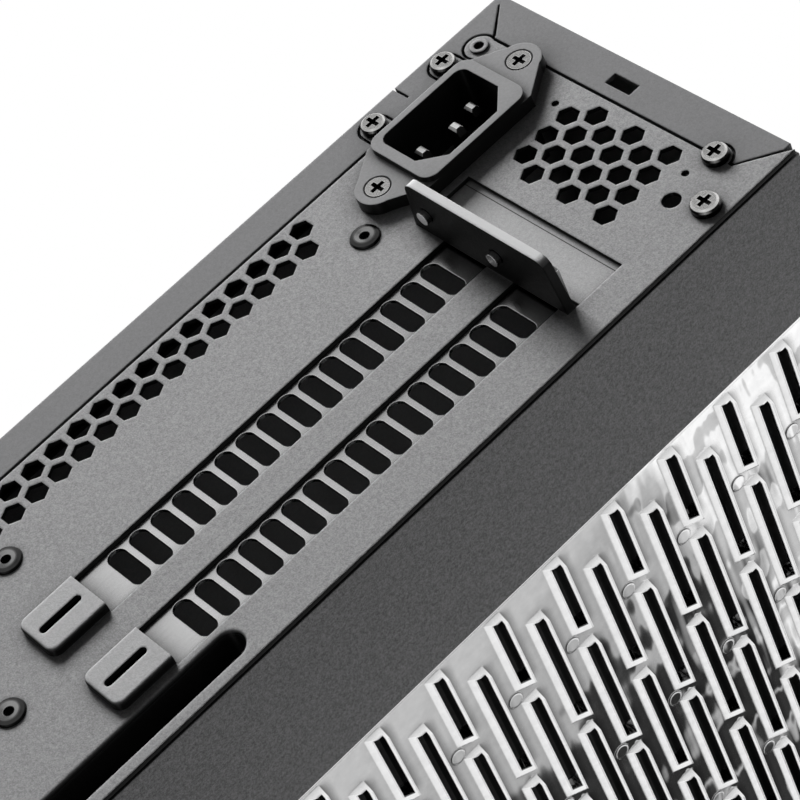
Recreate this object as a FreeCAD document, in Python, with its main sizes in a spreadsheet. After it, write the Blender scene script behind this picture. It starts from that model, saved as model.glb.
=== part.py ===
import FreeCAD, Part
import os
import re
import Sketcher

# Small form factor computer case: a slim tower, rear towards +Y, opening side towards -X.
# The origin is on the floor, midway between the feet.

doc = FreeCAD.newDocument("small_computer_case")
sheet = doc.addObject("Spreadsheet::Sheet", "sizes")

SIZES = [
    ("case_width", 85.0, "outer width, side to side"),
    ("case_depth", 340.0, "outer depth, front to rear"),
    ("shell_height", 370.0, "height of the folded shell"),
    ("foot_height", 6.0, "height of the rubber feet"),
    ("skin", 1.0, "steel sheet of shell, panels and brackets"),
    ("seam", 0.7, "gap at every seam between panels"),
    ("bend_radius", 0.8, "outside radius of the shell's folds"),
    ("side_band", 8.2, "shell's rear flange down the right side"),
    ("top_band", 9.6, "shell's rear flange along top and bottom"),
    ("mitre_run", 6.0, "sideways run of the slanted flange ends"),
    ("mitre_rise", 1.8, "flange height left at its slanted tip"),
    ("slit", 0.55, "width of the relief slits in the flange"),
    ("relief_drop", 31.1, "relief slit below the top"),
    ("relief_length", 4.6, "relief slit from the right edge"),
    ("lock_drop", 5.5, "lock slot below the top"),
    ("lock_x", 0.3, "lock slot, sideways place"),
    ("lock_length", 7.0, "lock slot, long side"),
    ("lock_width", 3.0, "lock slot, short side"),
    ("notch_radius", 3.8, "round notch in the flange at a screw"),
    ("ear_radius", 3.2, "round ear of the rear panel at a screw"),
    ("ear_x", 37.6, "screws of the right flange, sideways place"),
    ("ear_drop_1", 20.9, "upper right screw below the top"),
    ("ear_drop_2", 40.8, "second right screw below the top"),
    ("ear_drop_3", 200.0, "third right screw below the top"),
    ("ear_drop_4", 340.0, "lowest right screw below the top"),
    ("spare_drop", 13.2, "empty screw boss below the top"),
    ("spare_x", 35.0, "empty screw boss, sideways place"),
    ("spare_bore", 1.1, "empty screw boss, bore radius"),
    ("spare_collar", 2.0, "empty screw boss, collar radius"),
    ("spare_rise", 0.5, "empty screw boss, collar height"),
    ("top_ear_x", -30.5, "screw of the top flange, sideways place"),
    ("top_ear_drop", 10.1, "screw of the top flange below the top"),
    ("catch_screw_x", -38.0, "catch screw, sideways place"),
    ("catch_screw_drop", 20.6, "catch screw below the top"),
    ("catch_width", 5.4, "catch plate, width"),
    ("catch_height", 24.0, "catch plate, height"),
    ("tab_width", 9.0, "screw tab of the shell, width"),
    ("thread", 3.0, "machine screw thread"),
    ("thread_gap", 0.2, "play round a screw, each side"),
    ("head_radius", 2.8, "pan head radius"),
    ("catch_head", 3.1, "pan head radius of the catch screw"),
    ("head_height", 1.9, "pan head height"),
    ("screw_length", 6.0, "machine screw length under its head"),
    ("cross_long", 3.3, "cross recess, length"),
    ("cross_wide", 0.95, "cross recess, width"),
    ("cross_deep", 1.3, "cross recess, depth"),
    ("vent_pitch", 6.0, "hexagon vent pitch"),
    ("vent_flats", 4.5, "hexagon vent across flats"),
    ("strip_drop", 68.4, "first hexagon of the vent strip below the top"),
    ("strip_x", 29.9, "outer row of the vent strip, sideways place"),
    ("strip_count", 16, "hexagons in each row of the strip"),
    ("patch_drop", 17.5, "first hexagon of the vent patch below the top"),
    ("patch_x", 3.9, "first hexagon of the vent patch, sideways place"),
    ("round_hole", 4.0, "round hole beside the vent patch"),
    ("round_hole_x", -30.8, "round hole, sideways place"),
    ("round_hole_drop", 22.9, "round hole below the top"),
    ("pip", 1.6, "tooling hole"),
    ("pip_x_1", 8.7, "first tooling hole, sideways place"),
    ("pip_x_2", -28.2, "second tooling hole, sideways place"),
    ("pip_drop", 16.4, "tooling holes below the top"),
    ("slot_x", -4.8, "inner expansion slot, sideways place"),
    ("slot_pitch", 20.32, "expansion slot pitch"),
    ("slot_width", 12.6, "expansion slot opening, width"),
    ("slot_end_drop", 152.4, "lower end of the slots below the top"),
    ("ledge_drop", 54.5, "outer face of the screw ledge below the top"),
    ("ledge_thick", 2.0, "screw ledge, folded double"),
    ("ledge_height", 13.0, "screw ledge, height off the panel"),
    ("ledge_right", 9.9, "screw ledge, right end"),
    ("ledge_left", -34.1, "screw ledge, left end"),
    ("ledge_lean", 2.2, "lean of the ledge's ends"),
    ("ledge_corner", 2.5, "rounding of the ledge's corners"),
    ("window_length", 12.7, "window behind the ledge, upwards"),
    ("window_lap", 4.0, "window plate beyond the window"),
    ("window_lap_inlet", 1.4, "window plate beyond the window, towards the inlet"),
    ("cover_thick", 0.9, "slot cover sheet"),
    ("cover_lap", 0.7, "slot cover beyond the opening, each side"),
    ("cover_tab", 9.0, "slot cover tab off the panel"),
    ("cover_ear", 5.0, "slot cover tab towards its screw"),
    ("cover_screw_shift", 8.5, "slot screw beside the slot's middle"),
    ("cover_screw_rise", 6.2, "slot screw off the panel"),
    ("tongue_length", 11.0, "slot cover tongue past the opening"),
    ("tongue_width", 9.4, "slot cover tongue, width"),
    ("cell_count", 16, "obround holes in a slot cover"),
    ("cell_pitch", 5.5, "obround hole pitch"),
    ("cell_length", 11.4, "obround hole, length"),
    ("cell_width", 4.2, "obround hole, width"),
    ("cell_drop", 61.0, "first obround hole below the top"),
    ("bridge_length", 13.6, "tongue bridge, length"),
    ("bridge_width", 11.6, "tongue bridge, width"),
    ("bridge_rise", 2.0, "tongue bridge off the panel"),
    ("bridge_slit", 10.0, "slit in the bridge, length"),
    ("bridge_slit_width", 1.8, "slit in the bridge, width"),
    ("bridge_corner", 2.2, "tongue bridge, rounded lower corners"),
    ("bridge_edge", 0.7, "tongue bridge, rounded upper edges"),
    ("inlet_x", 21.7, "mains inlet, sideways place"),
    ("inlet_drop", 33.2, "mains inlet below the top"),
    ("inlet_screws_apart", 40.0, "mains inlet screw spacing"),
    ("inlet_ear", 4.8, "mains inlet ear radius"),
    ("inlet_plate", 3.0, "mains inlet flange thickness"),
    ("inlet_long", 28.4, "mains inlet block, long side"),
    ("inlet_wide", 19.4, "mains inlet block, short side"),
    ("inlet_corner", 3.0, "mains inlet block corners"),
    ("inlet_face", 4.4, "mains inlet block off the panel"),
    ("socket_long", 23.4, "mains inlet cavity, long side"),
    ("socket_wide", 16.2, "mains inlet cavity, short side"),
    ("socket_chamfer", 5.0, "mains inlet cavity, cut corners"),
    ("socket_round", 2.2, "mains inlet cavity, rounded corners"),
    ("socket_depth", 15.0, "mains inlet cavity, depth"),
    ("inlet_wall", 1.6, "mains inlet wall behind the panel"),
    ("inlet_floor", 3.0, "mains inlet floor"),
    ("inlet_fit", 0.3, "play of the inlet in its cut-out"),
    ("pin_wide", 4.0, "blade pin, width"),
    ("pin_thick", 2.0, "blade pin, thickness"),
    ("pin_pitch", 7.0, "blade pin pitch"),
    ("pin_shift", 2.0, "blade pin off the inlet's middle line"),
    ("pin_inset", 3.9, "outer blade pins, tip inside the face"),
    ("earth_inset", 1.2, "earth blade pin, tip inside the face"),
    ("pin_tip", 2.0, "blade pin, width at its tip"),
    ("pin_taper", 1.6, "blade pin, length of the tapered tip"),
    ("pin_tail", 9.0, "blade pin tail behind the inlet"),
    ("pin_fit", 0.05, "play of a blade pin in the inlet floor"),
    ("cone_radius", 2.8, "countersunk head radius"),
    ("cone_height", 1.4, "countersunk head height"),
    ("rivet_radius", 3.3, "rivet flange radius"),
    ("rivet_rise", 0.9, "rivet flange height"),
    ("rivet_body", 1.6, "rivet body radius"),
    ("rivet_bore", 1.1, "rivet bore radius"),
    ("rivet_grip", 3.4, "rivet body length"),
    ("rivet_x", 16.5, "stiffener rivets, sideways place"),
    ("rivet_drop_1", 62.5, "upper stiffener rivet below the top"),
    ("rivet_drop_2", 157.3, "lower stiffener rivet below the top"),
    ("shelf_rivet_x", -12.5, "shelf rivet, sideways place"),
    ("shelf_rivet_drop", 178.6, "shelf rivet below the top"),
    ("stiffener_leg", 10.0, "stiffener angle, leg"),
    ("stiffener_over", 6.5, "stiffener beyond its rivets"),
    ("recess_x", -36.4, "finger recess, sideways place"),
    ("recess_drop", 141.0, "finger recess, upper end below the top"),
    ("recess_length", 100.0, "finger recess, length"),
    ("recess_width", 6.2, "finger recess, width"),
    ("recess_depth", 9.0, "finger recess, depth"),
    ("recess_wall", 0.8, "finger recess wall"),
    ("recess_lip", 0.8, "finger recess, rounded edge of the panel"),
    ("io_long", 158.75, "board connector opening, long side"),
    ("io_wide", 44.45, "board connector opening, short side"),
    ("io_x", 7.9, "board connector opening, middle"),
    ("io_drop", 195.9, "board connector opening, upper edge below the top"),
    ("bezel_depth", 12.0, "front panel rim depth"),
    ("bezel_wall", 3.0, "front panel wall"),
    ("panel_flange", 8.0, "side panel's folded edges"),
    ("panel_flange_inset", 14.0, "side panel's folded edges, clear of the ends"),
    ("grille_rear", 38.0, "grille window from the rear"),
    ("grille_drop", 6.0, "grille window below the top"),
    ("grille_long", 265.4, "grille window, front to rear"),
    ("grille_high", 162.4, "grille window, height"),
    ("grille_wall", 2.0, "grille wall"),
    ("grille_lip", 3.0, "grille rim behind the panel"),
    ("grille_bead", 0.7, "bead round the grille inside its window, width"),
    ("grille_fit", 0.1, "play of the bead in the window"),
    ("louvre_pitch", 16.05, "two louvre columns"),
    ("louvre_columns", 10, "louvre columns of each kind"),
    ("louvre_rows", 6, "full louvres in a column"),
    ("louvre_width", 4.2, "louvre wedge, width"),
    ("louvre_rise", 2.0, "louvre wedge, height"),
    ("louvre_lean", 1.9, "lean of a louvre's rear end"),
    ("louvre_length", 34.1, "full louvre, length"),
    ("louvre_short", 21.9, "short louvre, length"),
    ("louvre_step", 37.9, "louvre pitch along a column"),
    ("louvre_web", 3.8, "gap between short louvre and rim or neighbour"),
    ("louvre_stagger", 12.3, "rear end of the second columns"),
    ("louvre_top", 5.95, "highest louvre below the window's top"),
    ("mouth_inset", 1.5, "louvre slot from the wedge's low edge"),
    ("mouth_width", 2.0, "louvre slot, width"),
    ("mouth_front", 1.5, "louvre slot from the wedge's front end"),
    ("mouth_rear", 1.1, "louvre slot from the wedge's rear end"),
    ("ejector_radius", 1.7, "round ejector pad between louvres, radius"),
    ("ejector_rise", 0.25, "round ejector pad, height"),
    ("ejector_shift", 0.8, "round ejector pad below the louvres' low edge"),
    ("tray_gap", 5.5, "board tray off the right wall"),
    ("tray_rear", 6.0, "board tray behind the rear panel"),
    ("tray_front", 24.0, "board tray from the front"),
    ("tray_trim", 18.0, "board tray from the top"),
    ("tray_low", 4.0, "board tray off the bottom"),
    ("cooler_hole", 90.0, "opening behind the processor"),
    ("standoff_height", 6.5, "board standoff, height"),
    ("standoff_flats", 5.0, "board standoff across flats"),
    ("standoff_bore", 1.25, "board standoff bore radius"),
    ("board_rear", 13.7, "first board hole from the rear"),
    ("board_drop", 202.0, "upper board holes below the top"),
    ("board_rows", 157.48, "board holes, upper to lower"),
    ("board_run", 154.94, "board holes, rear to front"),
    ("board_jog", 22.86, "set-back of the upper rear hole"),
    ("shelf_drop", 172.4, "card shelf, upper face below the top"),
    ("shelf_left", -31.0, "card shelf, left edge"),
    ("shelf_run", 280.0, "card shelf, rear to front"),
    ("shelf_flange", 12.0, "card shelf's folded edges"),
    ("riser_x", 3.4, "card socket, sideways place"),
    ("riser_rear", 46.0, "riser board from the rear"),
    ("riser_run", 100.0, "riser board, length"),
    ("riser_wide", 22.0, "riser board, width"),
    ("board_thick", 1.6, "circuit board thickness"),
    ("spacer_height", 3.0, "riser spacer, height"),
    ("spacer_radius", 3.0, "riser spacer radius"),
    ("spacer_inset", 6.0, "riser spacer from the board's end"),
    ("socket_run", 89.0, "card socket, length"),
    ("socket_body", 7.5, "card socket, width"),
    ("socket_high", 11.2, "card socket, height"),
    ("card_slit", 1.8, "card socket slit, width"),
    ("card_slit_deep", 8.0, "card socket slit, depth"),
    ("supply_rear", 196.0, "power supply bracket from the rear"),
    ("supply_wide", 63.5, "power supply, short side"),
    ("supply_long", 125.0, "power supply, long side"),
    ("supply_drop", 218.0, "power supply, top below the top"),
    ("supply_rim", 6.0, "power supply bracket, rim"),
    ("supply_hole_inset", 6.0, "power supply screw from its edges"),
    ("supply_flange", 20.0, "power supply bracket flange"),
    ("button_drop", 34.0, "power button below the top"),
    ("button_radius", 7.0, "power button radius"),
    ("button_fit", 0.4, "play of the power button in its hole"),
    ("button_proud", 1.8, "power button off the front"),
    ("button_collar", 9.2, "power button collar radius"),
    ("button_collar_thick", 1.2, "power button collar thickness"),
    ("button_stem", 2.5, "power button stem radius"),
    ("button_play", 0.3, "rest gap behind the front wall and at the switch"),
    ("button_travel", 1.2, "power button travel"),
    ("switch_side", 6.2, "push switch, side"),
    ("switch_depth", 3.6, "push switch, depth"),
    ("front_board_gap", 12.0, "front board behind the front wall"),
    ("front_board_wide", 26.0, "front board, width"),
    ("front_board_high", 110.0, "front board, height"),
    ("post_radius", 3.0, "front panel post radius"),
    ("post_inset", 5.0, "front panel posts from the board's ends"),
    ("usb_drop", 64.0, "upper USB socket below the top"),
    ("usb_pitch", 22.0, "USB socket pitch"),
    ("usb_long", 14.4, "USB socket, long side"),
    ("usb_wide", 7.0, "USB socket, short side"),
    ("usb_wall", 0.5, "USB socket shell"),
    ("usb_tongue", 1.8, "USB socket tongue thickness"),
    ("port_fit", 0.3, "play round a front socket"),
    ("jack_drop", 106.0, "headset jack below the top"),
    ("jack_radius", 3.8, "headset jack radius"),
    ("jack_bore", 1.8, "headset jack bore radius"),
    ("lens_drop", 49.0, "indicator lens below the top"),
    ("lens_radius", 1.5, "indicator lens radius"),
    ("foot_radius", 7.0, "rubber foot radius"),
    ("foot_taper", 1.0, "rubber foot taper"),
    ("foot_plug", 2.6, "rubber foot plug radius"),
    ("foot_plug_length", 3.0, "rubber foot plug length"),
    ("foot_x", 30.0, "rubber feet, sideways place"),
    ("foot_y", 140.0, "rubber feet, from the middle"),
]

for row, (alias, value, note) in enumerate(SIZES, start=1):
    sheet.set(f"A{row}", note)
    sheet.set(f"B{row}", str(value))
    sheet.setAlias(f"B{row}", alias)
doc.recompute()

ALIASES = {alias for alias, _, _ in SIZES}


def cell(text):
    """Expression text with each alias named through the sheet."""
    return re.sub(r"[a-z][a-z_0-9]*", lambda m: f"sizes.{m[0]}" if m[0] in ALIASES else m[0], str(text))


def number(text):
    return float(sheet.evalExpression(cell(text)))


# Named places, as expressions: half width, rear and front faces, floor and top of the shell.
# The ledge and the button stand out at the ends, and the origin is midway between them.
HALF = "(case_width / 2)"
REAR = "((case_depth - ledge_height + button_proud) / 2)"
NOSE = f"({REAR} - case_depth)"
BASE = "foot_height"
TOP = "(foot_height + shell_height)"
INNER = f"({REAR} - skin)"
LEFT_EDGE = f"(-{HALF} + skin + seam)"
PANEL_LEFT = f"(-{HALF})"
WALL = f"({HALF} - skin)"
TRAY = f"({WALL} - tray_gap)"
FRONT = f"({NOSE} + bezel_depth)"


def below(drop):
    """Height of a point given by its distance below the shell's top."""
    return f"({TOP} - ({drop}))"


def new_body(label):
    body = doc.addObject("PartDesign::Body", label)
    body.Label = label
    return body


def new_sketch(body, plane, offset="0"):
    """Sketch on one of the body's origin planes, moved along that plane's normal."""
    sketch = body.newObject("Sketcher::SketchObject", "outline")
    support = next(f for f in body.Origin.OriginFeatures if getattr(f, "Role", "") == plane)
    sketch.AttachmentSupport = [(support, "")]
    sketch.MapMode = "FlatFace"
    sketch.setExpression("AttachmentOffset.Base.z", cell(offset))
    return sketch


def rear_sketch(body, y):
    """Sketch across the case: sketch axes are X and Z, its normal is -Y."""
    return new_sketch(body, "XZ_Plane", f"-({y})")


def side_sketch(body, x):
    """Sketch along the case: sketch axes are Y and Z, its normal is +X."""
    return new_sketch(body, "YZ_Plane", x)


def flat_sketch(body, z):
    """Level sketch: sketch axes are X and Y, its normal is +Z."""
    return new_sketch(body, "XY_Plane", z)


def bind(sketch, limits):
    """Tie radii, or signed distances from the sketch origin, to expressions."""
    constraints = []
    for kind, geometry, point, text in limits:
        if kind == "Radius":
            constraints.append(Sketcher.Constraint(kind, geometry, number(text)))
        else:
            constraints.append(Sketcher.Constraint(kind, -1, 1, geometry, point, number(text)))
    indices = sketch.addConstraint(constraints)
    for index, (_, _, _, text) in zip(indices, limits):
        sketch.setExpression(f"Constraints[{index}]", cell(text))


def polygon(sketch, corners):
    """Closed outline of straight lines through (x, y) expressions."""
    first = sketch.GeometryCount
    spots = [FreeCAD.Vector(number(x), number(y), 0) for x, y in corners]
    after = spots[1:] + spots[:1]
    sketch.addGeometry([Part.LineSegment(a, b) for a, b in zip(spots, after)], False)
    count = len(spots)
    sketch.addConstraint([
        Sketcher.Constraint("Coincident", first + i, 2, first + (i + 1) % count, 1) for i in range(count)])
    bind(sketch, [(kind, first + i, 1, text) for i, corner in enumerate(corners)
                  for kind, text in zip(("DistanceX", "DistanceY"), corner)])


def rectangle(sketch, left, right, low, high):
    polygon(sketch, [(left, low), (right, low), (right, high), (left, high)])


def centred(sketch, x, y, wide, high):
    """Rectangle about a middle point."""
    rectangle(sketch, f"{x} - ({wide}) / 2", f"{x} + ({wide}) / 2",
              f"{y} - ({high}) / 2", f"{y} + ({high}) / 2")


def circle(sketch, x, y, radius):
    middle = FreeCAD.Vector(number(x), number(y), 0)
    index = sketch.addGeometry(Part.Circle(middle, FreeCAD.Vector(0, 0, 1), number(radius)), False)
    bind(sketch, [("DistanceX", index, 3, x), ("DistanceY", index, 3, y), ("Radius", index, 0, radius)])


def hexagon(sketch, x, y, flats):
    """Regular hexagon with two flats level."""
    reach = f"({flats}) / sqrt(3)"
    half = f"({flats}) / 2"
    polygon(sketch, [
        (f"{x} + {reach}", y), (f"{x} + {reach} / 2", f"{y} + {half}"),
        (f"{x} - {reach} / 2", f"{y} + {half}"), (f"{x} - {reach}", y),
        (f"{x} - {reach} / 2", f"{y} - {half}"), (f"{x} + {reach} / 2", f"{y} - {half}")])


def obround(sketch, x, y, wide, high):
    """Slot with round ends: the longer of the two sizes is its length."""
    radius = f"min({wide}; {high}) / 2"
    along_x = number(wide) > number(high)
    reach = f"(max({wide}; {high}) - min({wide}; {high})) / 2"
    r = number(radius)
    d = number(reach)
    middle = FreeCAD.Vector(number(x), number(y), 0)
    along = FreeCAD.Vector(1, 0, 0) if along_x else FreeCAD.Vector(0, 1, 0)
    across = FreeCAD.Vector(-along.y, along.x, 0)
    ends = []
    for sign in (1, -1):
        hub = middle + along * (sign * d)
        arc = Part.Arc(hub - across * (sign * r), hub + along * (sign * r), hub + across * (sign * r))
        ends.append(sketch.addGeometry(arc, False))
    lines = []
    for sign in (1, -1):
        start = middle + along * (sign * d) + across * (sign * r)
        end = middle - along * (sign * d) + across * (sign * r)
        lines.append(sketch.addGeometry(Part.LineSegment(start, end), False))
    for turn in (0, 1):
        sketch.addConstraint(Sketcher.Constraint("Tangent", ends[turn], 2, lines[turn], 1))
        sketch.addConstraint(Sketcher.Constraint("Tangent", lines[turn], 2, ends[1 - turn], 1))
    limits = [("Radius", ends[0], 0, radius)]
    for turn, sign in ((0, "+"), (1, "-")):
        limits.append(("DistanceX", ends[turn], 3, f"{x} {sign} {reach}" if along_x else x))
        limits.append(("DistanceY", ends[turn], 3, y if along_x else f"{y} {sign} {reach}"))
    bind(sketch, limits)


def pad(body, sketch, length, back=False):
    """Grow a sketch along its normal, or the other way with back."""
    feature = body.newObject("PartDesign::Pad", "pad")
    feature.Profile = sketch
    feature.setExpression("Length", cell(length))
    feature.Reversed = back
    sketch.Visibility = False
    return feature


def cut(body, sketch, depth, back=False):
    """Cut along a sketch's normal, or the other way with back."""
    doc.recompute()
    before = body.Shape.Volume
    feature = body.newObject("PartDesign::Pocket", "cut")
    feature.Profile = sketch
    feature.setExpression("Length", cell(depth))
    feature.Reversed = not back
    sketch.Visibility = False
    doc.recompute()
    if not feature.Shape.Volume < before:
        raise RuntimeError(f"a cut in {body.Label} removes nothing")
    return feature


def repeat(body, features, rows):
    """Even pattern along one or two origin axes: rows are (axis, step, count, backwards)."""
    pattern = body.newObject("PartDesign::LinearPattern", "pattern")
    pattern.Originals = features
    for suffix, (axis, step, count, backwards) in zip(("", "2"), rows):
        line = next(f for f in body.Origin.OriginFeatures if getattr(f, "Role", "") == axis)
        setattr(pattern, "Direction" + suffix, (line, [""]))
        setattr(pattern, "Mode" + suffix, "Spacing")
        pattern.setExpression("Offset" + suffix, cell(step))
        pattern.setExpression("Occurrences" + suffix, cell(count))
        setattr(pattern, "Reversed" + suffix, backwards)
        setattr(pattern, "Spacings" + suffix, [-1.0] * (int(number(count)) - 1))
    pattern.Refine = False
    body.Tip = pattern
    doc.recompute()
    return pattern


def runs_along(edge, axis):
    """True where an edge's ends differ along one axis alone."""
    ends = [v.Point for v in edge.Vertexes]
    span = ends[-1] - ends[0]
    return all(abs(getattr(span, other)) < 1e-4 for other in "xyz" if other != axis)


def edges_where(shape, test, axis):
    """Names of the edges whose ends all satisfy a test, along one axis if it is given."""
    return [f"Edge{i}" for i, edge in enumerate(shape.Edges, start=1)
            if all(test(v.Point) for v in edge.Vertexes) and (not axis or runs_along(edge, axis))]


def round_edges(body, test, radius, axis="", kind="Fillet", size="Radius"):
    """Fillet, or chamfer, the body's edges that a test picks."""
    doc.recompute()
    base = body.Tip
    feature = body.newObject(f"PartDesign::{kind}", kind.lower())
    feature.Base = (base, edges_where(base.Shape, test, axis))
    feature.setExpression(size, cell(radius))
    body.Tip = feature
    doc.recompute()
    return feature


def near(a, text):
    return abs(a - number(text)) < 1e-4


def turned(label, profile):
    """Body turned about Z from an (r, z) half section that touches the axis."""
    body = new_body(label)
    sketch = new_sketch(body, "XZ_Plane")
    polygon(sketch, profile)
    feature = body.newObject("PartDesign::Revolution", "turn")
    feature.Profile = sketch
    feature.ReferenceAxis = (sketch, ["V_Axis"])
    feature.Angle = 360
    sketch.Visibility = False
    doc.recompute()
    return body


TO_REAR = FreeCAD.Rotation(FreeCAD.Vector(1, 0, 0), -90)
TO_FRONT = FreeCAD.Rotation(FreeCAD.Vector(1, 0, 0), 90)
TO_LEFT = FreeCAD.Rotation(FreeCAD.Vector(0, 1, 0), -90)
UPRIGHT = FreeCAD.Rotation()


def copies(label, items, turn):
    """One node of linked copies, from (master body, place) pairs, each a solid of its own."""
    links = []
    for master, (x, y, z) in items:
        link = doc.addObject("App::Link", f"{label}_copy")
        link.LinkedObject = master
        link.Placement = FreeCAD.Placement(FreeCAD.Vector(0, 0, 0), turn)
        for axis, text in zip("xyz", (x, y, z)):
            link.setExpression(f"Placement.Base.{axis}", cell(text))
        links.append(link)
    group = doc.addObject("Part::Compound", label)
    group.Label = label
    group.Links = links
    return group


# Screw places on the rear: (x, height) of the shell's screws, and the slot middles.
RIGHT_SCREWS = [("ear_x", below(f"ear_drop_{i}")) for i in (1, 2, 3, 4)]
TOP_SCREW = ("top_ear_x", below("top_ear_drop"))
CATCH_SCREW = ("catch_screw_x", below("catch_screw_drop"))
SPARE_BOSS = ("spare_x", below("spare_drop"))
SLOTS = ["slot_x", "(slot_x - slot_pitch)"]
SLOT_END = below("slot_end_drop")
LEDGE = below("ledge_drop")
LEDGE_BACK = f"({LEDGE} + ledge_thick)"
STIFFENER_RIVETS = [("rivet_x", below("rivet_drop_1")), ("rivet_x", below("rivet_drop_2"))]
SHELF_RIVET = ("shelf_rivet_x", below("shelf_rivet_drop"))
SCREW_HOLE = "thread / 2 + thread_gap"


def make_outer_shell():
    """Top, right side and bottom folded from one sheet, with a mitred flange round the rear."""
    body = new_body("outer_shell")
    walls = rear_sketch(body, REAR)
    polygon(walls, [
        (LEFT_EDGE, TOP), (HALF, TOP), (HALF, BASE), (LEFT_EDGE, BASE),
        (LEFT_EDGE, f"{BASE} + skin"), (WALL, f"{BASE} + skin"),
        (WALL, f"{TOP} - skin"), (LEFT_EDGE, f"{TOP} - skin")])
    pad(body, walls, "case_depth - bezel_depth")
    round_edges(body, lambda p: near(p.x, HALF) and (near(p.z, TOP) or near(p.z, BASE)), "bend_radius", "y")
    flange = rear_sketch(body, REAR)
    tip = f"{LEFT_EDGE} + mitre_run"
    band = f"{HALF} - side_band"
    polygon(flange, [
        (LEFT_EDGE, f"{TOP} - skin / 2"), (f"{WALL} + skin / 2", f"{TOP} - skin / 2"),
        (f"{WALL} + skin / 2", f"{BASE} + skin / 2"), (LEFT_EDGE, f"{BASE} + skin / 2"),
        (LEFT_EDGE, f"{BASE} + mitre_rise"), (tip, f"{BASE} + top_band"),
        (band, f"{BASE} + top_band"), (band, below("top_band")),
        (tip, below("top_band")), (LEFT_EDGE, below("mitre_rise"))])
    pad(body, flange, "skin")
    notches = rear_sketch(body, REAR)
    for x, z in RIGHT_SCREWS:
        obround(notches, f"{x} - side_band / 2", z, "notch_radius * 2 + side_band", "notch_radius * 2")
    for x, z in (TOP_SCREW, SPARE_BOSS):
        circle(notches, x, z, "notch_radius")
    cut(body, notches, "skin")
    slots = rear_sketch(body, REAR)
    centred(slots, "lock_x", below("lock_drop"), "lock_length", "lock_width")
    rectangle(slots, f"{HALF} - relief_length", HALF,
              f"{below('relief_drop')} - slit / 2", f"{below('relief_drop')} + slit / 2")
    for corner, sign in ((TOP, "-"), (BASE, "+")):
        polygon(slots, [
            (band, f"{corner} {sign} (top_band - slit)"),
            (band, f"{corner} {sign} (top_band + slit)"),
            (f"{HALF} - skin * 2", f"{corner} {sign} (skin * 2 + slit)"),
            (f"{HALF} - skin * 2", f"{corner} {sign} skin * 2")])
    cut(body, slots, "skin")
    tabs = rear_sketch(body, INNER)
    for _, z in RIGHT_SCREWS:
        rectangle(tabs, "ear_x - ear_radius", f"{WALL} + skin / 2",
                  f"{z} - tab_width / 2", f"{z} + tab_width / 2")
    x, z = TOP_SCREW
    rectangle(tabs, f"{x} - tab_width / 2", f"{x} + tab_width / 2",
              f"{z} - ear_radius", f"{TOP} - skin / 2")
    pad(body, tabs, "skin")
    threads = rear_sketch(body, INNER)
    for x, z in RIGHT_SCREWS + [TOP_SCREW]:
        circle(threads, x, z, SCREW_HOLE)
    cut(body, threads, "skin")
    plugs = flat_sketch(body, BASE)
    for x in ("foot_x", "-foot_x"):
        for y in ("foot_y", "-foot_y"):
            circle(plugs, x, y, "foot_plug + thread_gap")
    cut(body, plugs, "skin")
    return body


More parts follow.
